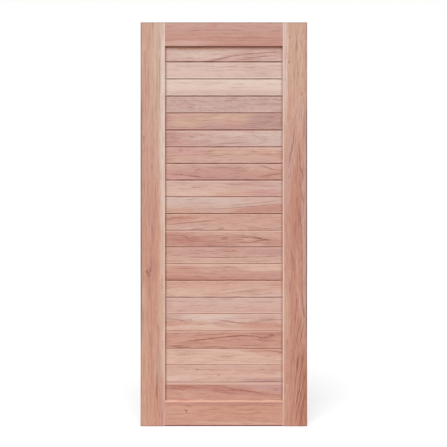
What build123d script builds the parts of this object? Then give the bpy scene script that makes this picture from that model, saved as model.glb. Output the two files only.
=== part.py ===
# A boarded wooden door leaf: two stiles and two rails, mortised together, hold a panel of
# horizontal tongue-and-groove boards. Both faces are alike.
# X runs across the leaf from the hinge edge, Y through its thickness with the front at -Y, and
# Z is up. The origin is on the hinge edge, at the stile's foot and mid-thickness. Millimetres.
import os
from itertools import cycle

from build123d import *

# Leaf
LEAF_WIDTH = 866.0
LEAF_HEIGHT = 2100.0
LEAF_THICKNESS = 35.0

# Stiles and rails
STILE_WIDTH = 127.0
TOP_RAIL_HEIGHT = 123.0
BOTTOM_RAIL_HEIGHT = 134.0
OUTER_ARRIS = 2.0             # radius of the long corners at the leaf's two edges
INNER_ARRIS = 1.5             # radius of the corners along the panel
RAIL_BEVEL_HEIGHT = 6.5       # the bottom rail's long corners slope, the upper ones to shed water
RAIL_BEVEL_DEPTH = 5.0

# Mortise and tenon joints
TENON_LENGTH = 82.0
TENON_THICKNESS = 12.0
TENON_SETBACK = 26.0          # from the top rail's top, or the bottom rail's foot, to the tenon
TENON_TO_GROOVE = 6.0         # wood between a tenon and the panel groove
TENON_CLEARANCE = 0.15
MORTISE_END_CLEARANCE = 0.8

# Groove that houses the panel, ploughed in the stiles and rails
PANEL_HOUSING = 10.0          # how far the panel enters the frame
GROOVE_END_CLEARANCE = 0.8
GROOVE_CLEARANCE = 0.15       # at each face of the boards

# Boards, from the top down. Each covers what shows of it, from joint to joint.
FIRST_BOARD_COVER = 81.0
BOARD_COVERS = [89.0, 89.0, 88.0, 89.0, 88.0, 86.0, 87.0, 87.0, 87.0, 87.0,
                87.0, 88.0, 86.0, 88.0, 86.0, 89.0, 91.0, 86.0, 90.0]
LAST_BOARD_LIMIT = 130.0      # the last board covers what is left, up to this
BOARD_THICKNESS = 18.0
JOINT_GAP = 1.0
BOARD_BEVEL = 1.5
TONGUE_THICKNESS = 6.0
TONGUE_LENGTH = 7.5
TONGUE_CLEARANCE = 0.15       # at each cheek
TONGUE_TIP_CLEARANCE = 0.8

# Worked out from the sizes above
FACE = LEAF_THICKNESS / 2
INNER_LEFT = STILE_WIDTH
INNER_RIGHT = LEAF_WIDTH - STILE_WIDTH
SILL = BOTTOM_RAIL_HEIGHT
HEAD = LEAF_HEIGHT - TOP_RAIL_HEIGHT
GROOVE_HALF = BOARD_THICKNESS / 2 + GROOVE_CLEARANCE
GROOVE_DEPTH = PANEL_HOUSING + GROOVE_END_CLEARANCE
TENON_HALF = TENON_THICKNESS / 2
TOP_TENON = (HEAD + GROOVE_DEPTH + TENON_TO_GROOVE, LEAF_HEIGHT - TENON_SETBACK)
BOTTOM_TENON = (TENON_SETBACK, SILL - GROOVE_DEPTH - TENON_TO_GROOVE)


def block(x0, x1, z0, z1, half_thickness):
    """A block about the leaf's middle plane, between two places across and two heights."""
    return Pos((x0 + x1) / 2, 0, (z0 + z1) / 2) * Box(abs(x1 - x0), 2 * half_thickness, z1 - z0)


def run(section, x0, x1):
    """A bar from one place across to another, of a section given as (Y, Z) points."""
    face = make_face(Plane.YZ * Polyline(*section, close=True))
    return Pos(x0, 0, 0) * extrude(face, x1 - x0, dir=(1, 0, 0))


def both_faces(half_section):
    """A whole section from the points of its back half, which its front half mirrors."""
    return half_section + [(-y, z) for y, z in reversed(half_section)]


def face_corners(shape, axis, place):
    """The edges along an axis where the leaf's two faces meet the side at that place."""
    along = shape.edges().filter_by(axis)
    on_faces = along.filter_by(lambda e: abs(abs(e.center().Y) - FACE) < 0.01)
    if axis == Axis.Z:
        return on_faces.filter_by(lambda e: abs(e.center().X - place) < 0.01)
    return on_faces.filter_by(lambda e: abs(e.center().Z - place) < 0.01)


def stile(outer_x, inner_x):
    """A stile between its outer and inner edges, grooved and mortised on the inner edge."""
    inward = 1 if inner_x > outer_x else -1
    shape = block(outer_x, inner_x, 0, LEAF_HEIGHT, FACE)
    shape = fillet(face_corners(shape, Axis.Z, outer_x), OUTER_ARRIS)
    shape = fillet(face_corners(shape, Axis.Z, inner_x), INNER_ARRIS)
    groove_end = inner_x - inward * GROOVE_DEPTH
    shape -= block(groove_end, inner_x, SILL - GROOVE_DEPTH, HEAD + GROOVE_DEPTH, GROOVE_HALF)
    mortise_end = inner_x - inward * (TENON_LENGTH + MORTISE_END_CLEARANCE)
    for low, high in (TOP_TENON, BOTTOM_TENON):
        shape -= block(
            mortise_end, inner_x,
            low - TENON_CLEARANCE, high + TENON_CLEARANCE, TENON_HALF + TENON_CLEARANCE,
        )
    return shape


def with_tenons(rail, heights):
    """A rail with its two tenons, which are one length of wood with it."""
    return rail + block(INNER_LEFT - TENON_LENGTH, INNER_RIGHT + TENON_LENGTH, *heights, TENON_HALF)


def top_rail():
    section = both_faces([
        (GROOVE_HALF, HEAD + GROOVE_DEPTH), (GROOVE_HALF, HEAD), (FACE, HEAD), (FACE, LEAF_HEIGHT),
    ])
    rail = run(section, INNER_LEFT, INNER_RIGHT)
    rail = fillet(face_corners(rail, Axis.X, HEAD), INNER_ARRIS)
    return with_tenons(rail, TOP_TENON)


def bottom_rail():
    section = both_faces([
        (GROOVE_HALF, SILL - GROOVE_DEPTH), (GROOVE_HALF, SILL), (FACE - RAIL_BEVEL_DEPTH, SILL),
        (FACE, SILL - RAIL_BEVEL_HEIGHT), (FACE, RAIL_BEVEL_HEIGHT), (FACE - RAIL_BEVEL_DEPTH, 0),
    ])
    return with_tenons(run(section, INNER_LEFT, INNER_RIGHT), BOTTOM_TENON)


def joint_heights():
    """The heights of the joints between boards, from the head to the sill, both included."""
    heights = [HEAD, HEAD - FIRST_BOARD_COVER]
    for cover in cycle(BOARD_COVERS):
        if heights[-1] - SILL <= LAST_BOARD_LIMIT:
            return heights + [SILL]
        heights.append(heights[-1] - cover)


def tongued_edge(joint):
    """Back half of a board's upper edge at a joint: tongue, shoulder and bevel."""
    shoulder = joint - JOINT_GAP / 2
    half = BOARD_THICKNESS / 2
    tongue = TONGUE_THICKNESS / 2
    return [
        (tongue, shoulder + TONGUE_LENGTH), (tongue, shoulder),
        (half - BOARD_BEVEL, shoulder), (half, shoulder - BOARD_BEVEL),
    ]


def grooved_edge(joint):
    """Back half of a board's lower edge at a joint: bevel, shoulder and the groove for a tongue."""
    shoulder = joint + JOINT_GAP / 2
    half = BOARD_THICKNESS / 2
    slot = TONGUE_THICKNESS / 2 + TONGUE_CLEARANCE
    slot_end = joint - JOINT_GAP / 2 + TONGUE_LENGTH + TONGUE_TIP_CLEARANCE
    return [
        (half, shoulder + BOARD_BEVEL), (half - BOARD_BEVEL, shoulder),
        (slot, shoulder), (slot, slot_end),
    ]


def board(top, foot):
    """A board between two joints. The first and last enter the rails with a plain edge."""
    half = BOARD_THICKNESS / 2
    upper = [(half, HEAD + PANEL_HOUSING)] if top == HEAD else tongued_edge(top)
    lower = [(half, SILL - PANEL_HOUSING)] if foot == SILL else grooved_edge(foot)
    return run(both_faces(upper + lower), INNER_LEFT - PANEL_HOUSING, INNER_RIGHT + PANEL_HOUSING)


def main():
    os.makedirs("parts", exist_ok=True)
    pieces = {
        "hinge_stile": stile(0, INNER_LEFT),
        "lock_stile": stile(LEAF_WIDTH, INNER_RIGHT),
        "top_rail": top_rail(),
        "bottom_rail": bottom_rail(),
    }
    joints = joint_heights()
    for number, (top, foot) in enumerate(zip(joints, joints[1:]), start=1):
        pieces[f"board_{number:02d}"] = board(top, foot)
    for name, shape in pieces.items():
        export_step(shape, f"parts/{name}.step")
        print(name, round(shape.volume / 1000), "cm3")


main()
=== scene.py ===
import math
from dataclasses import dataclass, field

import bpy
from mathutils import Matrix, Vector


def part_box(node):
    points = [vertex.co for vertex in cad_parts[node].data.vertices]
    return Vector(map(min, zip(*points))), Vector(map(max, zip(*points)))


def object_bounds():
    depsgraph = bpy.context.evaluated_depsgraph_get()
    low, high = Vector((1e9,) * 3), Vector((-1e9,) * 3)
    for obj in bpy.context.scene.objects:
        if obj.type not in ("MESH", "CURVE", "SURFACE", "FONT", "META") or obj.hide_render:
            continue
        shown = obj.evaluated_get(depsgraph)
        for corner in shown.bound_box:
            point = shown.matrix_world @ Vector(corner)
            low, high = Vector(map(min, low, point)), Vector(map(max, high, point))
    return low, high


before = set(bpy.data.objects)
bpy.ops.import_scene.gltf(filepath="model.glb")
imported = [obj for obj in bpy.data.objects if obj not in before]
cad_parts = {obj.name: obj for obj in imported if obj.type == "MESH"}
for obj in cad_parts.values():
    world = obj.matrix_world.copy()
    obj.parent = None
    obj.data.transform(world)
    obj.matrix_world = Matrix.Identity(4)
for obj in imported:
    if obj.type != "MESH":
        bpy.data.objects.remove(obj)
cad_low, cad_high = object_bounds()

# Where the leaf lies in the square photograph, in pixels
PHOTO_SIDE = 447
LEAF_LEFT_PX = 140.6
LEAF_RIGHT_PX = 307.1
LEAF_TOP_PX = 22.3
LEAF_FOOT_PX = 426.4

# Camera, light and floor, with angles in degrees
CAMERA_DISTANCE = 4.0
SENSOR_WIDTH = 36.0           # millimetres
KEY_ELEVATION = 53
KEY_AZIMUTH = -6              # a little to the left of straight in front
KEY_SPREAD = 46
KEY_STRENGTH = 3.37
SKY_STRENGTH = 0.3            # on the leaf. The camera sees a white sky.
FLOOR_HALF = 12.0
PAPER_GREY = 0.5              # the floor's own colour
PAPER_GLOW = 0.5              # added to it where the camera or a reflection sees it

MM_PER_METRE = 1000

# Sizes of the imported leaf
LEAF_HEIGHT = 2100
LEAF_THICKNESS = 35
STILE_WIDTH = 127
OPENING_WIDTH = 612           # between the stiles
SILL = 134                    # top of the bottom rail
TONGUE_LENGTH = 7.5           # each board's tongue, hidden in the board above

# Linear colours that darken the wood by multiplying it
DARK_WOOD = (0.61, 0.43, 0.38, 1)      # its lines, streaks and pores
PAINTED_SHADE = (0.28, 0.10, 0.06, 1)      # painted shade in the boards' joints and ends and at the bottom rail's foot
HEAD_SHADOW_COLOUR = (0.53, 0.25, 0.13, 1)      # painted shadow of the top rail on the first board
ENDS_AND_CORNERS_DARK = (0.25, 0.30, 0.35, 1)          # the stiles' outer corners and the leaf's top; painted shade at the stiles' feet

# Tones of the wood, as sRGB
TONES = {
    "cream": (223, 202, 188),
    "shell": (217, 189, 177),
    "ash": (209, 184, 174),
    "blush": (209, 176, 165),
    "greige": (203, 173, 165),
    "biscuit": (215, 178, 161),
    "straw": (208, 179, 161),
    "honey": (206, 170, 149),
    "sand": (206, 167, 153),
    "peach": (205, 160, 143),
    "rose": (200, 159, 147),
    "mauve": (194, 151, 143),
    "pink": (204, 158, 151),
    "slate": (184, 160, 152),
    "salmon": (200, 151, 134),
    "clay": (194, 145, 131),
    "brick": (184, 132, 119),
    "rust": (180, 122, 102),
    "amber": (200, 150, 129),
    "ember": (192, 140, 121),
    "ochre": (203, 163, 142),
    "bloom": (232, 192, 176),
    "olive": (184, 158, 138),
    "dusk": (182, 146, 138),
    "umber": (140, 88, 74),
}


@dataclass
class Grain:
    """Noise drawn out along the wood.

    length and width are the size of its spots, offset sets it apart from the other noises, and
    detail and roughness are the noise node's own.
    """
    length: float
    width: float
    offset: tuple = (0, 0, 0)
    detail: float = 2.0
    roughness: float = 0.5


# The wood's figure. Each range is two noise values, at which that figure starts and is full.
WARP = Grain(120, 22, (5, 1, 8), 3, 0.55)
WARP_ALONG = 90               # how far the warp moves the tones and rings
WARP_ACROSS = 16
STREAK = Grain(110, 7, (2, 6, 1), 4, 0.62)
STREAK_RANGE = (0.3, 0.75)
STREAK_STRENGTH = 0.22
DASH = Grain(75, 4, (6, 3, 9), 3, 0.65)
DASH_RANGE = (0.5, 0.68)
DASH_STRENGTH = 0.7
LIGHT_DASH_RANGE = (0.42, 0.28)
LIGHT_DASH_STRENGTH = 0.5
MOTTLE = Grain(24, 8, (8, 2, 5), 3, 0.9)
MOTTLE_RANGE = (0.35, 0.75)
MOTTLE_STRENGTH = 0.3
FIBRE = Grain(14, 0.7, (4, 4, 7), 2, 0.6)
PORE_RANGE = (0.62, 0.72)
PORE_STRENGTH = 0.18
SEED_STEP = (7310, 3770, 5130)         # how far apart the pieces are cut from the same noises

# Growth rings
RING_WANDER = Grain(260, 40)
RING_WANDER_REACH = 26
RING_RIPPLE = Grain(45, 9, (3, 9, 4), 2, 0.5)
RING_RIPPLE_REACH = 3
RING_FADING = Grain(130, 30, (1, 4, 6), 2, 0.6)
RING_FADING_RANGE = (0.4, 0.62)
LATEWOOD_START = (0.3, 0.8)            # shares of a ring, where its dark line comes and goes
LATEWOOD_END = (1.0, 0.88)
RING_CONTRAST = 1.2

# A patch fades between these distances from its centre, where its ellipse is at 1
PATCH_FADE = (1.35, 0.45)

# Surface
ROUGHNESS = 0.62
STREAK_ROUGHNESS = 0.12       # added in the streaks
SPECULAR = 0.22
BUMP_STRENGTH = 0.35
BUMP_DISTANCE = 0.00025       # metres
LINE_RELIEF = -0.5
PORE_RELIEF = -0.6


@dataclass
class Edge:
    """A band of shade or light along an edge, which starts and is full so far inside it."""
    start: float
    full: float
    strength: float = 1.0


# The painted shade in the boards' joints. It reaches further into the boards where the joint
# is darker.
JOINT_SHADE = 0.95
FOOT_REACH = 2.8              # into the board above the joint
FOOT_REACH_GROWTH = 2.4
FOOT_FULL = 1.2
FOOT_LEAST_SHADE = 0.3
TOP_REACH = 1.2               # into the board below the joint
TOP_REACH_GROWTH = 2.6
TOP_FULL = 0.6
JOINT_FADING = Grain(60, 600, (1, 7, 2), 2, 0.6)
JOINT_FADING_RANGE = (0.3, 0.7)
JOINT_FADED = 0.7             # the share of the shade that is left where it fades

# Other bands on the boards: painted highlights beside the joints
CREST_FADE = 5
HEM = Edge(10, 6)
# Painted shade at the boards' ends, beside the stiles
BOARD_LEFT_SHADE = Edge(13, 4, 0.45)
BOARD_RIGHT_SHADE = Edge(13, 4, 0.3)
# Painted shadow of the top rail on the first board
HEAD_SHADOW_BAND = Edge(26, 0, 0.75)

# Bands on the stiles and rails
STILE_HIGHLIGHT = Edge(9, 3, 0.6)          # painted highlight along the panel
BESIDE_SILL = 10                       # how far from the sill's height that painted highlight changes
BELOW_SILL_HIGHLIGHT = 0.5
STILE_TOP = Edge(7, 2, 0.3)
# Painted shade at the stiles' feet
STILE_FOOT_SHADE = Edge(7, 2, 0.5)
RAIL_TOP = Edge(7, 2, 0.35)
# Painted highlight on the sill's bevel
SILL_HIGHLIGHT = Edge(9, 5, 0.25)
# Painted shade at the bottom rail's foot
RAIL_FOOT_SHADE = Edge(7, 4.5, 0.95)

# The stiles' outer corners are darker. The extra darkening in their middle starts and is full
# at these heights, from below and from above.
CORNER_ON_FACE = Edge(8, 3.5)
CORNER_ON_EDGE = Edge(6, 2.5)
CORNER_DARK_BASE = 0.35
MIDDLE_DARK_EXTRA = 0.55
MIDDLE_FROM = (380, 560)
MIDDLE_UP_TO = (1740, 1600)


@dataclass
class Rings:
    """Growth rings round a pith that runs nearly along the piece.

    across and depth place the pith where along is 0: across the face from the piece's centre
    line, and behind its face. rise and dive are how far it moves for each millimetre along.
    """
    across: float = -120
    depth: float = 30
    rise: float = 0.0
    dive: float = 0.0
    spacing: float = 10.0
    strength: float = 0.55


@dataclass
class Patch:
    """A soft-edged area of another tone: an ellipse whose long axis may slope and bend."""
    tone: str
    along: float
    across: float
    length: float
    height: float
    slope: float = 0.0
    strength: float = 0.8
    bend: float = 0.0


def line(along, across, length, slope=0.0, strength=0.45, height=5.0, bend=0.0, tone="umber"):
    """A thin streak, dark unless a tone is given."""
    return Patch(tone, along, across, length, height, slope, strength, bend)


def mark(along, across, length=22, height=11, strength=0.5):
    """A small knot or speck."""
    return Patch("umber", along, across, length, height, 0.0, strength)


@dataclass
class Wood:
    """How one piece looks.

    Patches and rings are placed along a rail or board from the opening's left side, along a
    stile from its foot, and across from the centre line of what shows. joint is how dark the
    painted shade in the joint at a board's foot is, 0 where it has none. crest and hem are how
    far the wood turns to the lip's tone just inside the bevels at a board's top and foot, a
    painted highlight where the bevels catch the light, and crest_height is how far down from
    the top that reaches. On board_21 the crest is a wider band of lighter tone.
    """
    upper: str
    lower: str
    patches: list = field(default_factory=list)
    rings: Rings = field(default_factory=Rings)
    streaks: float = 0.6
    dashes: float = 0.5
    mottle: float = 0.4
    joint: float = 1.0
    crest: float = 0.35
    crest_height: float = 9.0
    hem: float = 0.2
    lip: str = "bloom"


def linear(tone):
    """A named tone as a linear colour, by the sRGB curve above its straight foot."""
    return tuple(((part / 255 + 0.055) / 1.055) ** 2.4 for part in TONES[tone]) + (1.0,)


# The Mix node's sockets for colours
MIX_FACTOR, MIX_A, MIX_B = 0, 6, 7
MIX_RESULT = 2


class Shader:
    """The node tree of a material or world, with a short call for each kind of node."""

    def __init__(self, owner):
        owner.use_nodes = True
        self.nodes = owner.node_tree.nodes
        self.links = owner.node_tree.links
        self.nodes.clear()

    def put(self, node, socket, value):
        if isinstance(value, bpy.types.NodeSocket):
            self.links.new(value, node.inputs[socket])
        else:
            node.inputs[socket].default_value = value

    def output(self, kind, result):
        self.put(self.nodes.new(kind), "Surface", result)

    def math(self, operation, *values):
        node = self.nodes.new("ShaderNodeMath")
        node.operation = operation
        for index, value in enumerate(values):
            self.put(node, index, value)
        return node.outputs[0]

    def add(self, a, b):
        return self.math("ADD", a, b)

    def minus(self, a, b):
        return self.math("SUBTRACT", a, b)

    def times(self, a, b):
        return self.math("MULTIPLY", a, b)

    def times_plus(self, a, b, c):
        return self.math("MULTIPLY_ADD", a, b, c)

    def divided(self, a, b):
        return self.math("DIVIDE", a, b)

    def higher(self, a, b):
        return self.math("MAXIMUM", a, b)

    def length(self, a, b):
        return self.math("SQRT", self.add(self.times(a, a), self.times(b, b)))

    def step(self, value, start, end, low=0.0, high=1.0):
        """Smoothly from low to high as value goes from start to end."""
        node = self.nodes.new("ShaderNodeMapRange")
        node.interpolation_type = "SMOOTHSTEP"
        for index, number in enumerate((value, start, end, low, high)):
            self.put(node, index, number)
        return node.outputs[0]

    def inside_low(self, value, limit, edge):
        """An edge's band where value is just over its lower limit."""
        return self.step(value, limit + edge.start, limit + edge.full, 0.0, edge.strength)

    def inside_high(self, value, limit, edge):
        """An edge's band where value is just under its upper limit."""
        return self.step(value, limit - edge.start, limit - edge.full, 0.0, edge.strength)

    def point(self, x, y, z):
        node = self.nodes.new("ShaderNodeCombineXYZ")
        for index, value in enumerate((x, y, z)):
            self.put(node, index, value)
        return node.outputs[0]

    def scaled(self, point, scale, offset):
        node = self.nodes.new("ShaderNodeVectorMath")
        node.operation = "MULTIPLY_ADD"
        for index, value in enumerate((point, scale, offset)):
            self.put(node, index, value)
        return node.outputs[0]

    def noise(self, point, grain):
        scale = (1 / grain.length, 1 / grain.width, 1 / grain.width)
        node = self.nodes.new("ShaderNodeTexNoise")
        self.put(node, "Vector", self.scaled(point, scale, grain.offset))
        self.put(node, "Scale", 1.0)
        self.put(node, "Detail", grain.detail)
        self.put(node, "Roughness", grain.roughness)
        return node.outputs["Fac"]

    def chance(self, value):
        """A random number that stays the same over each whole step of value."""
        node = self.nodes.new("ShaderNodeTexWhiteNoise")
        node.noise_dimensions = "1D"
        self.put(node, "W", self.math("FLOOR", value))
        return node.outputs["Value"]

    def blend(self, factor, a, b, how="MIX"):
        node = self.nodes.new("ShaderNodeMix")
        node.data_type = "RGBA"
        node.blend_type = how
        node.clamp_factor = True
        self.put(node, MIX_FACTOR, factor)
        self.put(node, MIX_A, a)
        self.put(node, MIX_B, b)
        return node.outputs[MIX_RESULT]

    def multiplied(self, factor, a, b):
        return self.blend(factor, a, b, "MULTIPLY")

    def seen(self):
        """1 where the camera sees something straight, in a reflection or through glass."""
        path = self.nodes.new("ShaderNodeLightPath").outputs
        straight_or_mirrored = self.higher(path["Is Camera Ray"], path["Is Glossy Ray"])
        return self.higher(straight_or_mirrored, path["Is Transmission Ray"])


def box_in_millimetres(piece):
    return [Vector(corner) * MM_PER_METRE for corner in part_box(piece)]


def face_width(piece):
    """The middle and the half width of what shows of a piece, across its grain."""
    low, high = box_in_millimetres(piece)
    if piece.endswith("stile"):
        start, end = low.x, high.x
    elif piece.endswith("rail"):
        start, end = low.z, high.z
    else:
        start = max(low.z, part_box("bottom_rail")[1].z * MM_PER_METRE)
        end = min(high.z - TONGUE_LENGTH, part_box("top_rail")[0].z * MM_PER_METRE)
    return (start + end) / 2, (end - start) / 2


def grain_place(shader, piece, middle):
    """Places along a piece, across from its middle and behind its face, as Wood counts them."""
    front = box_in_millimetres(piece)[0].y
    place = shader.nodes.new("ShaderNodeTexCoord").outputs["Object"]
    split = shader.nodes.new("ShaderNodeSeparateXYZ")
    shader.put(split, 0, place)
    x, y, z = (shader.times(part, MM_PER_METRE) for part in split.outputs)
    if piece.endswith("stile"):
        return z, shader.add(x, -middle), shader.add(y, -front)
    left = box_in_millimetres("hinge_stile")[1].x
    return shader.add(x, -left), shader.add(z, -middle), shader.add(y, -front)


def ring_lines(shader, rings, along, across, behind, seed_point):
    """Dark latewood lines, from 0 to 1, each ring of its own strength."""
    pith_across = shader.times_plus(along, rings.rise, rings.across)
    pith_depth = shader.times_plus(along, rings.dive, rings.depth)
    radius = shader.length(shader.minus(across, pith_across), shader.minus(behind, pith_depth))
    wander = shader.noise(seed_point, RING_WANDER)
    radius = shader.times_plus(wander, RING_WANDER_REACH, radius)
    ripple = shader.noise(seed_point, RING_RIPPLE)
    radius = shader.times_plus(ripple, RING_RIPPLE_REACH, radius)
    count = shader.divided(radius, rings.spacing)
    part = shader.math("FRACT", count)
    latewood = shader.times(shader.step(part, *LATEWOOD_START), shader.step(part, *LATEWOOD_END))
    fading = shader.step(shader.noise(seed_point, RING_FADING), *RING_FADING_RANGE)
    strength = shader.math("POWER", shader.chance(count), RING_CONTRAST)
    return shader.times(shader.times(latewood, fading), strength)


def patch_mask(shader, patch, along, across):
    """The patch's strength in its middle and 0 outside it."""
    offset = shader.add(along, -patch.along)
    reach = shader.divided(offset, patch.length / 2)
    slope = shader.times_plus(offset, patch.bend, patch.slope)
    centre = shader.times_plus(offset, slope, patch.across)
    rise = shader.divided(shader.minus(across, centre), patch.height / 2)
    return shader.step(shader.length(reach, rise), *PATCH_FADE, 0.0, patch.strength)


def toned(shader, wood, along, across, half):
    """The wood's own colour: its two tones, and its patches over them."""
    colour = shader.blend(
        shader.step(across, -half, half), linear(wood.lower), linear(wood.upper))
    for patch in wood.patches:
        mask = patch_mask(shader, patch, along, across)
        colour = shader.blend(mask, colour, linear(patch.tone))
    return colour


def board_shade(shader, above, below, along, across, half, seed_point):
    """How much painted shade a board has at its two joints and its two ends, from 0 to 1."""
    foot_shade = JOINT_SHADE * min(FOOT_LEAST_SHADE + below, 1) if below else 0.0
    foot_edge = Edge(FOOT_REACH + FOOT_REACH_GROWTH * below, FOOT_FULL, foot_shade)
    top_edge = Edge(TOP_REACH + TOP_REACH_GROWTH * above, TOP_FULL, JOINT_SHADE * min(above, 1))
    foot = shader.inside_low(across, -half, foot_edge)
    top = shader.inside_high(across, half, top_edge)
    fading = shader.noise(seed_point, JOINT_FADING)
    fading = shader.step(fading, *JOINT_FADING_RANGE, JOINT_FADED, 1.0)
    joints = shader.times(shader.higher(foot, top), fading)
    # Painted shade at the ends, beside the stiles
    left = shader.inside_low(along, 0, BOARD_LEFT_SHADE)
    right = shader.inside_high(along, OPENING_WIDTH, BOARD_RIGHT_SHADE)
    return shader.higher(joints, shader.higher(left, right))


def shaded_board(shader, colour, piece, wood, above, along, across, half, seed_point):
    """A board's colour, with painted highlights beside its joints and painted shade in them and
    at its ends.
    """
    # Painted highlights where the bevels beside the joints catch the light; on board_21 the crest
    # is a wider band of lighter tone
    crest_edge = Edge(wood.crest_height, wood.crest_height - CREST_FADE, wood.crest)
    crest = shader.inside_high(across, half, crest_edge)
    hem = shader.inside_low(across, -half, Edge(HEM.start, HEM.full, wood.hem))
    colour = shader.blend(shader.higher(crest, hem), colour, linear(wood.lip))
    # Painted shadow of the top rail on the first board
    if piece == "board_01":
        head_shadow = shader.inside_high(across, half, HEAD_SHADOW_BAND)
        colour = shader.multiplied(head_shadow, colour, HEAD_SHADOW_COLOUR)
    # Painted shade in the joints and at the ends by the stiles
    shade = board_shade(shader, above, wood.joint, along, across, half, seed_point)
    return shader.multiplied(shade, colour, PAINTED_SHADE)


def corner_darkening(shader, outward, height, behind):
    """How much a stile's outer corners are darkened, from 0 to 1, most between two heights."""
    corner = shader.inside_high(outward, STILE_WIDTH / 2, CORNER_ON_FACE)
    depth = shader.math("MINIMUM", behind, shader.minus(LEAF_THICKNESS, behind))
    corner = shader.times(corner, shader.inside_low(depth, 0, CORNER_ON_EDGE))
    middle_band = shader.times(shader.step(height, *MIDDLE_FROM), shader.step(height, *MIDDLE_UP_TO))
    return shader.times(corner, shader.times_plus(middle_band, MIDDLE_DARK_EXTRA, CORNER_DARK_BASE))


def shaded_stile(shader, colour, piece, along, across, behind, half):
    """A stile's colour, with a painted highlight along the panel and painted shade at its foot,
    and darker at its outer corners and its top.
    """
    outward = shader.times(across, -1.0 if piece == "hinge_stile" else 1.0)
    # Painted highlight along the panel, weaker below the sill
    light = shader.inside_low(outward, -half, STILE_HIGHLIGHT)
    over_sill = shader.step(
        along, SILL - BESIDE_SILL, SILL + BESIDE_SILL, BELOW_SILL_HIGHLIGHT, 1.0)
    colour = shader.blend(shader.times(light, over_sill), colour, linear("cream"))
    corner_dark = corner_darkening(shader, outward, along, behind)
    # Darker at the top, and painted shade at the foot
    top = shader.inside_high(along, LEAF_HEIGHT, STILE_TOP)
    foot = shader.inside_low(along, 0, STILE_FOOT_SHADE)
    return shader.multiplied(shader.higher(corner_dark, shader.higher(top, foot)), colour, ENDS_AND_CORNERS_DARK)


def shaded_rail(shader, colour, piece, across, half):
    """The top rail's colour, darker at its top, or the bottom rail's, with a painted highlight on
    its sill's bevel and painted shade at its foot.
    """
    if piece == "top_rail":
        return shader.multiplied(shader.inside_high(across, half, RAIL_TOP), colour, ENDS_AND_CORNERS_DARK)
    # Painted highlight on the sill's bevel, in a lighter tone
    sill = shader.inside_high(across, half, SILL_HIGHLIGHT)
    colour = shader.blend(sill, colour, linear("biscuit"))
    # Painted shade at the foot
    return shader.multiplied(shader.inside_low(across, -half, RAIL_FOOT_SHADE), colour, PAINTED_SHADE)


def wood_material(piece, wood, above, number):
    """Solid wood whose rings, streaks and tones run through the whole piece."""
    material = bpy.data.materials.new(f"wood_{piece}")
    shader = Shader(material)
    middle, half = face_width(piece)
    along, across, behind = grain_place(shader, piece, middle)
    offset = tuple(step * number for step in SEED_STEP)
    seed_point = shader.scaled(shader.point(along, across, behind), (1, 1, 1), offset)

    warp = shader.add(shader.noise(seed_point, WARP), -0.5)
    warped_along = shader.times_plus(warp, WARP_ALONG, along)
    warped_across = shader.times_plus(warp, WARP_ACROSS, across)
    colour = toned(shader, wood, warped_along, warped_across, half)

    streak = shader.step(shader.noise(seed_point, STREAK), *STREAK_RANGE)
    dash_noise = shader.noise(seed_point, DASH)
    dash = shader.step(dash_noise, *DASH_RANGE)
    light = shader.step(dash_noise, *LIGHT_DASH_RANGE, 0.0, LIGHT_DASH_STRENGTH)
    mottle = shader.step(shader.noise(seed_point, MOTTLE), *MOTTLE_RANGE)
    lines = ring_lines(shader, wood.rings, along, warped_across, behind, seed_point)
    dark = shader.times(lines, wood.rings.strength)
    dark = shader.times_plus(streak, STREAK_STRENGTH * wood.streaks, dark)
    dark = shader.times_plus(dash, DASH_STRENGTH * wood.dashes, dark)
    dark = shader.times_plus(mottle, MOTTLE_STRENGTH * wood.mottle, dark)
    colour = shader.multiplied(dark, colour, DARK_WOOD)
    colour = shader.blend(shader.times(light, wood.dashes), colour, linear("cream"))

    fibre = shader.noise(seed_point, FIBRE)
    pore = shader.step(fibre, *PORE_RANGE)
    colour = shader.multiplied(shader.times(pore, PORE_STRENGTH), colour, DARK_WOOD)
    if piece.startswith("board"):
        colour = shaded_board(
            shader, colour, piece, wood, above, along, across, half, seed_point)
    elif piece.endswith("stile"):
        colour = shaded_stile(shader, colour, piece, along, across, behind, half)
    else:
        colour = shaded_rail(shader, colour, piece, across, half)

    relief = shader.times_plus(pore, PORE_RELIEF, fibre)
    bump = shader.nodes.new("ShaderNodeBump")
    shader.put(bump, "Strength", BUMP_STRENGTH)
    shader.put(bump, "Distance", BUMP_DISTANCE)
    shader.put(bump, "Height", shader.times_plus(lines, LINE_RELIEF, relief))

    surface = shader.nodes.new("ShaderNodeBsdfPrincipled")
    shader.put(surface, "Base Color", colour)
    shader.put(surface, "Roughness", shader.times_plus(streak, STREAK_ROUGHNESS, ROUGHNESS))
    shader.put(surface, "Specular IOR Level", SPECULAR)
    shader.put(surface, "Normal", bump.outputs[0])
    shader.output("ShaderNodeOutputMaterial", surface.outputs[0])
    return material


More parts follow.
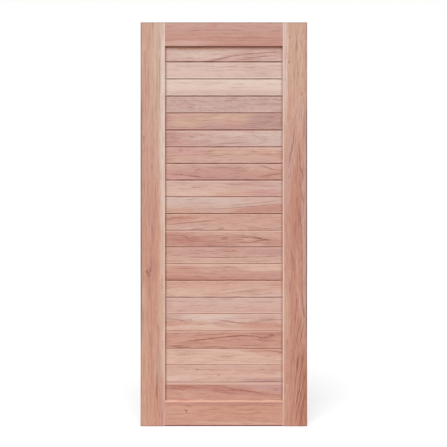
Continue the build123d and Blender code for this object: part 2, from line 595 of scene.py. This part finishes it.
WOODS = {
    "hinge_stile": Wood("amber", "amber", [
        Patch("ochre", 2000, -10, 1100, 180, 0.0, 1.0),
        Patch("honey", 2000, 16, 900, 44, 0.0, 0.9),
        Patch("rose", 1800, -32, 500, 20, 0.0, 0.5),
        Patch("salmon", 1640, -46, 340, 36, 0.0, 0.8),
        Patch("sand", 1500, -4, 1000, 110, 0.0, 0.45),
        Patch("ochre", 150, -50, 1100, 60, 0.0, 0.5),
        Patch("ochre", 600, -50, 320, 30, 0.0, 0.8),
        Patch("clay", 900, -6, 1300, 30, 0.0, 0.5),
        Patch("clay", 1130, 0, 240, 56, 0.0, 0.6),
        Patch("brick", 1010, 2, 120, 24, 0.0, 0.6),
        Patch("brick", 830, 8, 130, 28, 0.0, 0.6),
        Patch("brick", 700, -14, 80, 30, 0.0, 0.5),
        Patch("brick", 450, -8, 130, 18, 0.0, 0.6),
        Patch("biscuit", 1000, 62, 2400, 56, 0.0, 1.0),
        Patch("honey", 600, 44, 280, 40, 0.0, 0.8),
        Patch("cream", 1700, 66, 1500, 66, 0.0, 1.0),
        Patch("clay", 60, 50, 420, 50, 0.0, 0.8),
        Patch("straw", 1960, 18, 420, 34, 0.0, 0.8),
        Patch("peach", 390, 16, 320, 34, 0.0, 0.8),
        Patch("olive", 290, 30, 180, 18, 0.0, 0.9),
        Patch("olive", 340, 38, 120, 12, 0.0, 0.6),
        line(1900, 25, 360, 0.01, 0.6, 7, tone="olive"),
        line(1850, 38, 320, 0.0, 0.8, 6, tone="slate"),
        line(1700, 34, 260, 0.0, 0.8, 6, tone="slate"),
        line(1830, 36, 200, 0.0, 0.5, 6, tone="olive"),
        line(1690, 20, 300, -0.01, 0.6, 7, tone="olive"),
        line(1640, 10, 200, 0.0, 0.4, 6, tone="olive"),
        line(1400, 6, 340, 0.01, 0.5, 9, tone="olive"),
        line(1420, 20, 260, 0.0, 0.4, 6, tone="shell"),
        line(1760, -22, 260, 0.0, 0.3, 6),
        line(1660, -52, 240, 0.0, 0.25, 6),
        line(1300, -30, 300, 0.0, 0.3, 5),
        line(1180, 14, 260, 0.0, 0.25, 5),
        line(980, -36, 260, 0.0, 0.25, 5),
        line(560, 10, 300, 0.02, 0.3, 6),
        line(480, 22, 240, 0.0, 0.3, 5),
        line(260, 4, 190, 0.02, 0.45, 5),
        line(250, -8, 150, 0.0, 0.35, 5),
        line(205, 21, 150, -0.02, 0.6, 6),
        line(120, 12, 160, 0.0, 0.3, 5),
        line(90, -30, 180, 0.0, 0.25, 5),
        mark(1504, -46, 26, 8, 0.45),
        mark(1430, -50, 40, 8, 0.3),
        mark(1020, -4, 30, 10, 0.35),
        Patch("brick", 802, -20, 120, 40, 0.0, 0.6),
        mark(806, -32, 18, 14, 0.6),
        mark(812, -12, 18, 12, 0.7),
        mark(790, -22, 22, 12, 0.6),
    ], Rings(-160, 60, 0.004, 0.0, 9, 0.4), dashes=0.6),
    "lock_stile": Wood("ember", "ember", [
        Patch("ochre", 2000, 14, 1200, 190, 0.0, 1.0),
        Patch("salmon", 1000, -50, 2400, 60, 0.0, 0.8),
        Patch("ochre", 1500, -34, 260, 40, 0.0, 0.8),
        Patch("ochre", 600, -44, 300, 34, 0.0, 0.8),
        Patch("rose", 1280, -36, 330, 36, 0.0, 0.8),
        Patch("rose", 1640, 12, 170, 12, 0.33, 0.7),
        Patch("shell", 1980, -60, 900, 56, 0.0, 1.0),
        Patch("shell", 1990, -46, 760, 22, 0.0, 0.9),
        Patch("biscuit", 1000, -66, 2600, 26, 0.0, 0.9),
        Patch("brick", 1120, 26, 210, 34, 0.0, 0.8),
        Patch("brick", 990, 4, 180, 34, 0.0, 0.7),
        Patch("brick", 930, 32, 160, 24, 0.0, 0.6),
        Patch("salmon", 850, 10, 230, 18, -0.02, 0.8),
        Patch("rust", 820, 46, 260, 14, 0.0, 0.6),
        Patch("rose", 1070, 50, 1350, 30, 0.0, 0.9),
        Patch("sand", 1640, 20, 260, 60, 0.0, 0.5),
        Patch("rose", 1440, -16, 300, 36, 0.0, 0.8),
        Patch("salmon", 400, 40, 300, 44, 0.0, 0.6),
        Patch("honey", 2000, 6, 700, 90, 0.0, 0.4),
        Patch("peach", 650, 22, 200, 22, -0.1, 0.7),
        Patch("rust", 150, 40, 600, 60, 0.0, 0.8),
        line(1990, 22, 150, -0.14, 0.6, 7, tone="shell"),
        line(1870, 34, 160, 0.1, 0.4, 6, tone="shell"),
        line(1980, 6, 200, 0.02, 0.2, 5),
        line(1790, -2, 190, 0.03, 0.3, 5),
        line(1850, 14, 160, 0.05, 0.2, 5),
        line(1600, -2, 120, 0.33, 0.35, 6),
        line(1560, 44, 160, 0.05, 0.3, 5),
        line(1500, -8, 170, 0.1, 0.6, 7),
        line(1405, -24, 120, 0.15, 0.5, 6),
        line(1530, 47, 140, 0.0, 0.45, 5),
        line(1365, 30, 210, -0.14, 0.6, 6),
        line(1330, 10, 200, 0.02, 0.35, 6),
        line(1240, 34, 170, -0.1, 0.5, 7),
        line(1130, 10, 160, 0.02, 0.5, 6),
        line(1090, 30, 130, -0.06, 0.6, 7),
        line(1150, 44, 140, 0.05, 0.4, 5),
        line(870, -16, 170, -0.08, 0.6, 6),
        line(850, -5, 130, -0.12, 0.45, 5),
        line(760, -20, 140, 0.1, 0.35, 5),
        line(800, 38, 240, -0.04, 0.5, 6),
        line(640, 44, 150, -0.1, 0.6, 6),
        line(610, 6, 170, 0.06, 0.4, 6),
        line(560, -16, 140, 0.1, 0.35, 5),
        line(520, 24, 130, 0.18, 0.5, 6),
        line(470, 34, 150, 0.2, 0.6, 7),
        line(455, 10, 120, 0.16, 0.45, 6),
        line(400, 24, 140, 0.2, 0.5, 6, tone="peach"),
        line(390, -12, 130, 0.1, 0.4, 5),
        line(375, 46, 110, 0.15, 0.5, 6),
        line(325, 14, 110, 0.12, 0.9, 9),
        line(290, 30, 160, 0.22, 0.6, 8),
        line(262, 20, 130, 0.22, 0.6, 7, tone="peach"),
        line(230, 2, 170, 0.14, 0.45, 6),
        line(222, 42, 150, 0.22, 0.7, 8),
        line(190, 30, 130, 0.24, 0.6, 7, tone="peach"),
        line(165, 16, 140, 0.2, 0.6, 7),
        line(130, 44, 130, 0.22, 0.7, 8),
        line(110, 28, 110, 0.24, 0.5, 7, tone="peach"),
        line(80, 14, 120, 0.2, 0.5, 7),
        line(60, 36, 110, 0.2, 0.6, 7),
        line(50, -18, 120, 0.1, 0.3, 5),
        mark(2019, -28, 16, 10),
        mark(1894, -31, 16, 10),
        mark(1733, 37, 24, 9, 0.45),
        mark(1811, -52, 14, 8, 0.35),
    ], Rings(140, 60, 0.012, 0.0, 9, 0.5), dashes=0.8),
    "top_rail": Wood("rose", "clay", [
        Patch("sand", 110, -48, 320, 34, 0.02, 0.9),
        Patch("clay", 250, 40, 60, 44, 0.0, 0.5),
        Patch("brick", 380, -18, 420, 10, 0.0, 0.5),
        line(470, -20, 200, -0.02, 0.3),
        line(200, 22, 260, 0.02, 0.15),
    ], dashes=0.35),
    "bottom_rail": Wood("amber", "salmon", [
        Patch("peach", 60, 10, 220, 110, 0.0, 0.6),
        Patch("biscuit", 380, -50, 700, 12, 0.0, 0.5),
        Patch("clay", 306, 50, 900, 22, 0.0, 0.8),
        Patch("brick", 306, 50, 900, 12, 0.0, 0.5),
        mark(104, 14, 13, 22, 0.8),
        line(480, 51, 320, 0.0, 0.3, 6),
        line(440, 42, 300, -0.03, 0.25),
        line(440, -22, 300, -0.08, 0.3),
        line(500, -38, 220, -0.1, 0.35),
        line(80, -30, 160, -0.05, 0.3),
        line(330, 4, 160, 0.0, 0.2),
    ]),
    "board_01": Wood("blush", "blush", [
        Patch("shell", 200, -6, 360, 44, 0.0, 0.9),
        Patch("honey", 130, 26, 260, 16, 0.0, 0.6),
        Patch("rose", 480, -4, 360, 60, 0.12, 0.3),
        Patch("mauve", 268, -30, 120, 22, 0.1, 0.85),
        Patch("rose", 340, -8, 100, 16, 0.15, 0.8),
        Patch("ash", 110, 12, 240, 22, 0.0, 0.7),
        line(345, -12, 250, 0.17, 0.7, bend=-0.0006),
        line(500, 6, 240, 0.04, 0.7, 4),
        line(490, -14, 260, 0.09, 0.6, 4),
        line(540, -26, 180, 0.1, 0.3),
        line(430, -26, 120, 0.08, 0.3),
        mark(128, -20, 40, 8, 0.3),
        mark(124, -38, 50, 7, 0.7),
        mark(226, -39, 70, 7, 0.7),
    ], Rings(rise=0.11), dashes=0.7, joint=1.4),
    "board_02": Wood("shell", "shell", [
        Patch("blush", 503, 4, 200, 40, 0.0, 0.6),
        mark(440, 16, 60, 10, 0.25),
        mark(420, -4, 40, 8, 0.25),
        line(350, 20, 130, 0.0, 0.25),
        line(500, -14, 260, 0.0, 0.2),
        line(480, -28, 200, 0.0, 0.2),
    ], Rings(), joint=0.9, crest=0.3, hem=0.8, lip="cream"),
    "board_03": Wood("cream", "shell", [
        Patch("cream", 300, 28, 700, 26, 0.0, 0.7),
        Patch("ash", 200, 24, 260, 20, 0.0, 0.5),
        Patch("blush", 300, -24, 700, 26, 0.0, 0.7),
        Patch("greige", 300, -38, 640, 9, 0.0, 0.4),
    ], streaks=0.25, dashes=0.06, joint=1.05, crest=0.6, hem=0.4, lip="cream"),
    "board_04": Wood("greige", "greige", [
        Patch("blush", 130, 38, 260, 8, 0.0, 0.8),
        Patch("greige", 590, 6, 120, 50, 0.0, 0.8),
        Patch("blush", 500, -34, 160, 12, 0.0, 0.8),
        Patch("rose", 60, -4, 130, 30, 0.0, 0.5),
        line(340, 29, 80, 0.0, 0.4),
        line(570, 28, 120, 0.0, 0.35),
        line(140, 2, 120, -0.12, 0.25),
        mark(140, -12, 40, 10, 0.2),
        mark(110, 12, 40, 10, 0.2),
        mark(350, -14, 60, 20, 0.18),
        mark(410, -10, 40, 24, 0.15),
    ], dashes=0.55, mottle=1.3, joint=0.65, crest=0.1, hem=0.2),
    "board_05": Wood("sand", "rose", [
        Patch("mauve", 12, 0, 80, 80, 0.0, 0.9),
        Patch("honey", 110, -4, 170, 50, 0.0, 0.8),
        Patch("honey", 337, 22, 380, 26, 0.03, 0.9),
        Patch("peach", 360, 4, 240, 20, 0.0, 0.3),
        Patch("mauve", 340, -30, 480, 34, 0.03, 1.0),
        Patch("dusk", 550, 0, 240, 100, 0.0, 0.85),
        Patch("mauve", 560, 30, 170, 30, 0.0, 0.8),
        Patch("dusk", 520, 26, 150, 30, 0.0, 0.7),
        Patch("dusk", 320, -30, 240, 24, 0.03, 0.35),
        Patch("rose", 560, -8, 110, 12, 0.35, 0.8),
        line(160, 14, 60, 0.2, 0.25),
        line(200, 30, 160, 0.06, 0.2),
        mark(560, 26, 60, 14, 0.25),
        line(590, 34, 50, 0.0, 0.3),
    ], Rings(rise=0.05), joint=1.25, crest=0.1, hem=0.1),
    "board_06": Wood("blush", "greige", [
        Patch("rose", 80, -26, 330, 40, 0.0, 0.9),
        Patch("mauve", 30, 6, 130, 80, 0.0, 0.9),
        Patch("rose", 130, 20, 150, 30, 0.0, 0.7),
        Patch("ash", 560, 0, 240, 100, 0.0, 0.95),
        Patch("shell", 370, 24, 260, 26, 0.0, 0.7),
        line(470, 14, 50, -0.5, 0.35),
        line(505, -10, 60, 0.0, 0.3, bend=0.006),
        line(330, -26, 200, 0.06, 0.35),
        line(260, -38, 110, 0.0, 0.35),
        mark(134, 8, 20, 16, 0.3),
        mark(184, 16, 20, 10, 0.25),
        line(36, 6, 50, 0.5, 0.3),
    ], Rings(rise=0.02), dashes=0.6, mottle=0.7, joint=0.8, crest=0.4, hem=0.2),
    "board_07": Wood("sand", "sand", [
        Patch("rose", 16, 0, 80, 90, 0.0, 0.7),
        Patch("pink", 120, 22, 210, 44, 0.0, 0.9),
        Patch("honey", 320, 14, 220, 26, 0.0, 0.8),
        Patch("peach", 560, 8, 160, 30, 0.0, 0.9),
        Patch("biscuit", 510, 30, 220, 22, 0.0, 0.8),
        line(82, 32, 60, 0.0, 0.45),
        mark(80, 24, 24, 10, 0.4),
        mark(125, 26, 20, 10, 0.3),
        line(320, 4, 60, 0.1, 0.4),
        line(420, 24, 160, -0.05, 0.25),
        line(480, 6, 200, 0.0, 0.2),
        line(560, -8, 120, -0.1, 0.2),
        line(30, -20, 50, 0.2, 0.25),
    ], dashes=0.7, joint=0.95),
    "board_08": Wood("sand", "clay", [
        Patch("clay", 290, 2, 380, 40, 0.0, 0.5),
        Patch("mauve", 260, 6, 340, 60, 0.0, 0.65),
        Patch("mauve", 300, -34, 560, 20, 0.0, 0.9),
        Patch("pink", 50, -26, 200, 44, 0.0, 0.8),
        Patch("biscuit", 448, 12, 40, 10, 0.0, 0.9),
        line(130, -20, 240, -0.08, 0.63, bend=0.0001),
        line(250, -28, 200, -0.04, 0.42),
        line(550, 16, 150, -0.22, 0.56),
        line(550, -16, 150, 0.16, 0.56),
        line(330, 20, 220, 0.0, 0.42),
        line(400, 8, 130, 0.0, 0.35),
        line(50, -14, 90, 0.0, 0.42),
        mark(170, 10, 30, 10, 0.4),
        line(330, -40, 460, 0.0, 0.49),
    ], Rings(-4, 10, 0.0, 0.05, 8, 0.3), dashes=0.6, joint=1.0, crest=0.4, hem=0.1),
    "board_09": Wood("blush", "biscuit", [
        Patch("rose", 460, 22, 300, 36, 0.0, 0.8),
        Patch("pink", 510, -24, 250, 46, 0.0, 1.0),
        Patch("mauve", 520, -34, 150, 20, 0.0, 0.8),
        Patch("greige", 590, 12, 110, 30, 0.0, 0.7),
        Patch("peach", 340, -30, 200, 20, 0.0, 0.8),
        Patch("shell", 120, -28, 280, 30, 0.0, 0.6),
        line(150, 6, 60, 0.0, 0.35),
        line(160, 30, 240, -0.02, 0.25),
        line(390, 22, 180, 0.0, 0.25),
        line(460, -4, 200, -0.1, 0.2),
    ], Rings(rise=-0.04), joint=0.6, crest=0.5, hem=0.2),
    "board_10": Wood("ash", "sand", [
        Patch("ochre", 60, -28, 220, 30, 0.0, 0.9),
        Patch("sand", 500, 30, 300, 30, 0.0, 0.7),
        Patch("clay", 540, -20, 440, 50, 0.09, 1.0),
        line(400, -10, 460, 0.085, 0.42),
        line(480, 12, 300, 0.1, 0.42),
        line(200, -18, 200, 0.0, 0.24),
        line(140, -36, 160, 0.0, 0.3),
    ], Rings(rise=0.07), joint=0.8),
    "board_11": Wood("peach", "sand", [
        Patch("salmon", 60, 16, 200, 44, 0.0, 0.9),
        Patch("rose", 420, 20, 300, 44, 0.0, 0.5),
        Patch("shell", 120, -28, 120, 14, 0.0, 0.6),
        line(90, -6, 190, 0.1, 0.62),
        line(200, 2, 140, 0.1, 0.56),
        line(50, 14, 90, 0.0, 0.38),
        line(60, 26, 110, 0.0, 0.31),
        mark(168, -36, 60, 8, 0.5),
        mark(282, -37, 34, 9, 0.5),
        line(540, -34, 160, 0.0, 0.38),
        line(540, -20, 120, -0.05, 0.25),
    ], Rings(rise=0.08), dashes=0.7, joint=0.55),
    "board_12": Wood("sand", "clay", [
        Patch("clay", 60, 22, 200, 36, 0.0, 0.8),
        Patch("brick", 115, -4, 250, 38, 0.0, 1.0),
        Patch("clay", 290, 0, 260, 44, 0.0, 0.6),
        Patch("honey", 430, 22, 150, 16, 0.0, 0.5),
        Patch("mauve", 400, -36, 300, 12, 0.0, 0.6),
        mark(110, 4, 24, 16, 0.35),
        mark(310, 2, 34, 14, 0.35),
        Patch("sand", 430, -4, 130, 24, 0.0, 0.9),
        line(430, 13, 190, -0.082, 0.9, 4.5, bend=-0.00107),
        line(430, -21, 190, 0.125, 0.6, 4.5, bend=0.00046),
        Patch("sand", 430, -32, 220, 16, 0.0, 0.9),
        line(430, 2, 120, -0.06, 0.4, 4),
        line(430, -12, 120, 0.06, 0.4, 4),
        line(505, -1, 90, -0.1, 0.9),
        line(505, -9, 90, 0.1, 0.8),
        mark(525, -5, 54, 11, 0.9),
        line(400, 6, 90, -0.02, 0.52),
        line(380, -6, 60, 0.0, 0.52),
        line(270, -20, 130, 0.1, 0.45),
        line(280, -34, 260, 0.02, 0.38),
        line(50, 20, 90, -0.05, 0.45),
    ], Rings(-2, 9.5, 0.0, 0.05, 7, 0.3), dashes=0.9, joint=0.5, crest=0.5, hem=0.1),
    "board_13": Wood("rose", "sand", [
        Patch("mauve", 540, 18, 220, 34, 0.0, 0.9),
        Patch("clay", 320, 26, 130, 20, 0.0, 0.7),
        Patch("honey", 230, -32, 340, 20, 0.0, 0.9),
        Patch("honey", 520, -34, 300, 10, 0.0, 0.7),
        line(300, -9, 440, 0.0, 0.8, 4.5),
        line(330, -15, 300, 0.0, 0.4, 4, tone="shell"),
        line(560, -6, 90, 0.0, 0.5, 4),
        line(90, 4, 160, 0.08, 0.25),
        line(200, 12, 200, 0.0, 0.25),
        mark(345, 22, 30, 8, 0.35),
        line(570, 28, 110, 0.0, 0.3),
        line(570, 2, 90, 0.0, 0.25),
    ], dashes=0.5, joint=0.4, crest=0.2, hem=0.2),
    "board_14": Wood("sand", "clay", [
        Patch("biscuit", 350, 38, 700, 12, 0.0, 0.8),
        Patch("biscuit", 530, 20, 260, 32, 0.0, 0.9),
        Patch("brick", 90, -30, 300, 26, 0.0, 0.8),
        Patch("salmon", 70, 4, 220, 66, 0.0, 0.9),
        Patch("mauve", 560, -28, 220, 24, 0.0, 0.5),
        line(200, -8, 130, -0.03, 0.25),
        line(330, -40, 500, 0.0, 0.3),
    ], Rings(rise=0.02), dashes=0.4, joint=0.75, crest=0.5, hem=0.0),
    "board_15": Wood("peach", "biscuit", [
        Patch("biscuit", 110, -10, 220, 40, 0.0, 0.9),
        Patch("sand", 440, 14, 260, 30, 0.0, 0.9),
        Patch("rose", 480, -24, 260, 28, 0.0, 0.6),
        Patch("blush", 560, -26, 200, 24, 0.0, 0.8),
        line(390, -14, 200, 0.13, 0.4),
        line(380, -6, 220, 0.13, 0.5, 5, tone="shell"),
        line(470, -10, 160, 0.12, 0.3),
        line(300, 8, 60, 0.05, 0.3),
        line(520, -26, 160, 0.1, 0.25),
        line(140, 6, 160, 0.0, 0.2),
        line(250, -30, 140, 0.0, 0.2),
    ], Rings(rise=0.1), joint=0.7),
    "board_16": Wood("blush", "sand", [
        Patch("rose", 14, 0, 50, 70, 0.0, 0.6),
        Patch("rose", 120, -8, 60, 12, 0.0, 0.6),
        Patch("biscuit", 90, 6, 80, 14, 0.0, 0.7),
        line(215, 34, 90, 0.0, 0.5),
        line(320, 35, 100, 0.0, 0.25),
        line(78, -28, 44, 0.0, 0.6),
        line(420, -10, 200, 0.0, 0.2),
        line(500, 18, 200, 0.05, 0.2),
    ], streaks=0.4, dashes=0.4, joint=0.3, crest=0.3, hem=0.4),
    "board_17": Wood("ash", "biscuit", [
        Patch("rose", 30, 28, 150, 30, 0.0, 0.9),
        Patch("salmon", 40, -4, 150, 34, 0.0, 0.95),
        Patch("peach", 140, -2, 170, 26, 0.0, 0.8),
        Patch("sand", 510, 26, 330, 40, 0.0, 0.95),
        Patch("shell", 230, 30, 260, 24, 0.0, 0.9),
        Patch("rose", 295, -10, 110, 20, -0.2, 0.8),
        Patch("salmon", 520, -18, 320, 50, 0.0, 0.95),
        line(70, 12, 150, -0.13, 0.45),
        Patch("brick", 340, 2, 180, 9, -0.13, 0.85),
        line(470, 2, 230, 0.1, 0.3),
        line(540, 12, 160, 0.05, 0.35),
        line(240, -4, 90, -0.05, 0.25),
        line(540, -14, 150, 0.0, 0.2),
        mark(112, -6, 24, 8, 0.3),
    ], Rings(rise=-0.05), joint=0.1, crest=0.35, hem=0.1),
    "board_18": Wood("salmon", "salmon", [
        Patch("clay", 420, 0, 420, 50, 0.0, 0.6),
        Patch("peach", 60, -6, 160, 30, 0.0, 0.6),
        Patch("rose", 90, 30, 260, 20, 0.0, 0.7),
        Patch("brick", 570, 30, 240, 30, 0.0, 0.9),
        line(210, 2, 290, 0.13, 0.78),
        line(400, 20, 220, 0.0, 0.78, 6.0, bend=-0.0007),
        line(500, 12, 120, -0.08, 0.78, 6.0, bend=0.002),
        line(240, 26, 210, 0.05, 0.59),
        line(70, 31, 130, 0.02, 0.52),
        line(130, -8, 110, 0.1, 0.52),
        line(160, -18, 130, 0.0, 0.45),
        line(520, -2, 120, -0.1, 0.39),
        line(460, -30, 160, 0.0, 0.59),
        line(60, -33, 70, 0.0, 0.78, 8.0),
        mark(560, 25, 30, 14, 0.6),
        line(260, -39, 170, 0.0, 0.65, 7),
        line(90, -41, 80, 0.0, 0.78, 8),
    ], Rings(-60, 14, 0.12, 0.02, 6, 0.3), dashes=0.8, joint=0.55, crest=0.3, hem=0.2),
    "board_19": Wood("biscuit", "biscuit", [
        Patch("salmon", 550, 32, 320, 30, -0.05, 1.0),
        Patch("peach", 560, 14, 200, 16, -0.1, 0.9),
        Patch("sand", 60, 24, 200, 30, 0.0, 0.6),
        line(570, 24, 120, -0.18, 0.4),
        line(510, 8, 120, -0.2, 0.3),
        line(420, 30, 200, -0.05, 0.2),
        mark(90, 10, 50, 12, 0.2),
        line(60, 32, 70, 0.0, 0.3),
    ], Rings(rise=-0.06), dashes=0.5, joint=0.15, crest=0.2),
    "board_20": Wood("sand", "biscuit", [
        Patch("shell", 90, -24, 240, 30, 0.0, 0.5),
        Patch("sand", 330, -30, 330, 26, 0.0, 0.8),
        Patch("mauve", 540, -32, 300, 22, 0.0, 0.8),
        Patch("dusk", 530, -41, 280, 12, 0.0, 0.7),
        Patch("rose", 500, 10, 260, 30, 0.0, 0.5),
        Patch("salmon", 590, 30, 120, 24, 0.0, 0.6),
        line(500, -42, 230, 0.0, 0.3),
        mark(160, 20, 26, 10, 0.4),
        mark(290, -6, 20, 10, 0.4),
        mark(510, 22, 26, 8, 0.3),
    ], streaks=0.4, dashes=0.4, joint=0.2, crest=0.15, hem=0.0),
    "board_21": Wood("clay", "salmon", [
        Patch("biscuit", 420, 44, 640, 8, 0.0, 0.7),
        Patch("brick", 120, 26, 380, 34, 0.0, 0.95),
        Patch("dusk", 440, 28, 240, 24, -0.06, 0.4),
        Patch("rust", 120, 28, 280, 14, 0.0, 0.6),
        Patch("mauve", 560, 22, 300, 50, -0.05, 0.95),
        Patch("brick", 300, 6, 300, 34, -0.12, 0.8),
        Patch("brick", 400, 0, 440, 16, -0.14, 0.9),
        Patch("peach", 90, -24, 170, 24, 0.0, 0.7),
        line(230, 30, 160, -0.12, 0.35),
        line(430, 0, 340, -0.15, 0.4),
        line(330, -8, 180, -0.12, 0.3),
        line(560, -14, 150, -0.14, 0.35),
        line(40, -36, 120, 0.1, 0.3),
    ], Rings(rise=-0.13), dashes=0.6, joint=0.0, crest=0.95, crest_height=15, hem=0.0, lip="sand"),
}


def dress_pieces():
    above = 0.0
    for number, (piece, wood) in enumerate(WOODS.items(), start=1):
        material = wood_material(piece, wood, above, number)
        above = wood.joint if piece.startswith("board") else 0.0
        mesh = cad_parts[piece].data
        mesh.materials.clear()
        mesh.materials.append(material)


def backdrop_material():
    """White to the camera and to reflections, but for the leaf's own soft shadow."""
    material = bpy.data.materials.new("white_paper")
    shader = Shader(material)
    paper = shader.nodes.new("ShaderNodeBsdfDiffuse")
    shader.put(paper, "Color", (PAPER_GREY, PAPER_GREY, PAPER_GREY, 1))
    glow = shader.nodes.new("ShaderNodeEmission")
    shader.put(glow, "Color", (1, 1, 1, 1))
    shader.put(glow, "Strength", shader.times(shader.seen(), PAPER_GLOW))
    both = shader.nodes.new("ShaderNodeAddShader")
    shader.put(both, 0, paper.outputs[0])
    shader.put(both, 1, glow.outputs[0])
    shader.output("ShaderNodeOutputMaterial", both.outputs[0])
    return material


def lay_floor():
    half = FLOOR_HALF
    corners = [(-half, -half, 0), (half, -half, 0), (half, half, 0), (-half, half, 0)]
    mesh = bpy.data.meshes.new("floor")
    mesh.from_pydata(corners, [], [(0, 1, 2, 3)])
    mesh.materials.append(backdrop_material())
    floor = bpy.data.objects.new("floor", mesh)
    bpy.context.scene.collection.objects.link(floor)


def light_leaf():
    sun = bpy.data.lights.new("soft_key", "SUN")
    sun.energy = KEY_STRENGTH
    sun.angle = math.radians(KEY_SPREAD)
    key = bpy.data.objects.new("soft_key", sun)
    bpy.context.scene.collection.objects.link(key)
    elevation, azimuth = math.radians(KEY_ELEVATION), math.radians(KEY_AZIMUTH)
    towards = Vector((
        math.sin(azimuth) * math.cos(elevation),
        -math.cos(azimuth) * math.cos(elevation),
        math.sin(elevation),
    ))
    key.rotation_mode = "QUATERNION"
    key.rotation_quaternion = towards.to_track_quat("Z", "Y")


def make_sky():
    """A plain sky, white to the camera and to reflections, and dimmer as light."""
    world = bpy.data.worlds.new("studio")
    bpy.context.scene.world = world
    shader = Shader(world)
    sky = shader.nodes.new("ShaderNodeBackground")
    shader.put(sky, "Color", (1, 1, 1, 1))
    shader.put(sky, "Strength", shader.step(shader.seen(), 0.0, 1.0, SKY_STRENGTH, 1.0))
    shader.output("ShaderNodeOutputWorld", sky.outputs[0])


def place_camera():
    """Level, square to the leaf, and framed so that it lies where it does in the photograph."""
    low, high = cad_low, cad_high
    metres_per_px = (high.z - low.z) / (LEAF_FOOT_PX - LEAF_TOP_PX)
    frame_width = PHOTO_SIDE * metres_per_px
    right = (PHOTO_SIDE / 2 - (LEAF_LEFT_PX + LEAF_RIGHT_PX) / 2) * metres_per_px
    up = ((LEAF_TOP_PX + LEAF_FOOT_PX) / 2 - PHOTO_SIDE / 2) * metres_per_px
    data = bpy.data.cameras.new("camera")
    data.sensor_width = SENSOR_WIDTH
    data.lens = SENSOR_WIDTH * CAMERA_DISTANCE / frame_width
    camera = bpy.data.objects.new("camera", data)
    bpy.context.scene.collection.objects.link(camera)
    centre = (low + high) / 2
    camera.location = (centre.x + right, low.y - CAMERA_DISTANCE, centre.z + up)
    camera.rotation_euler = (math.radians(90), 0, 0)
    bpy.context.scene.camera = camera


dress_pieces()
lay_floor()
light_leaf()
make_sky()
place_camera()
bpy.context.scene.view_settings.view_transform = "Standard"
